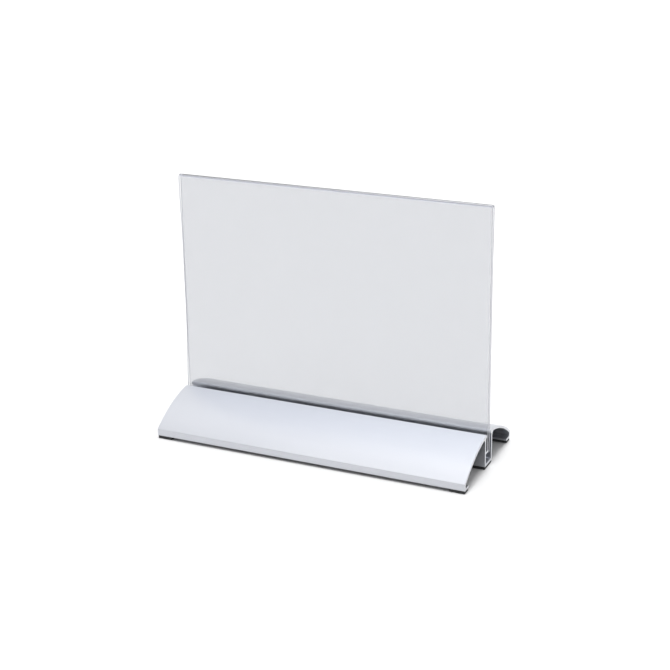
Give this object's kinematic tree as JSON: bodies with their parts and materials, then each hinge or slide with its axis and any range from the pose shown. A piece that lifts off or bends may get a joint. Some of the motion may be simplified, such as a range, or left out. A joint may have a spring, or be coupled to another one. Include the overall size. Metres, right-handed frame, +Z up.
{
  "type": "table sign stand",
  "caption": "Low slotted metal base with two curved sloping skins that holds an upright clear folded pocket for a landscape A5 card, on rubber pads.",
  "frame": {"origin": "on the table surface, under the middle of the stand", "axes": "+X along the stand, +Y from the reader's side to the back, +Z up"},
  "size_m": [0.21, 0.086, 0.1665],
  "materials": {
    "anodised_aluminium": "satin, clear anodised, sawn ends",
    "clear_acrylic": "polished clear sheet, folded at the top",
    "black_rubber": "matt"
  },
  "bodies": {
    "base": {"base_profile": "anodised_aluminium", "front_left_pad": "black_rubber", "front_right_pad": "black_rubber", "centre_left_pad": "black_rubber", "centre_right_pad": "black_rubber", "rear_left_pad": "black_rubber", "rear_right_pad": "black_rubber"},
    "pocket": {"sign_pocket": "clear_acrylic"}
  },
  "joints": [
    {"name": "pocket_lift", "type": "slide", "parent": "base", "child": "pocket", "axis": [0, 0, 1], "range_m": [0, 0.03]}
  ]
}
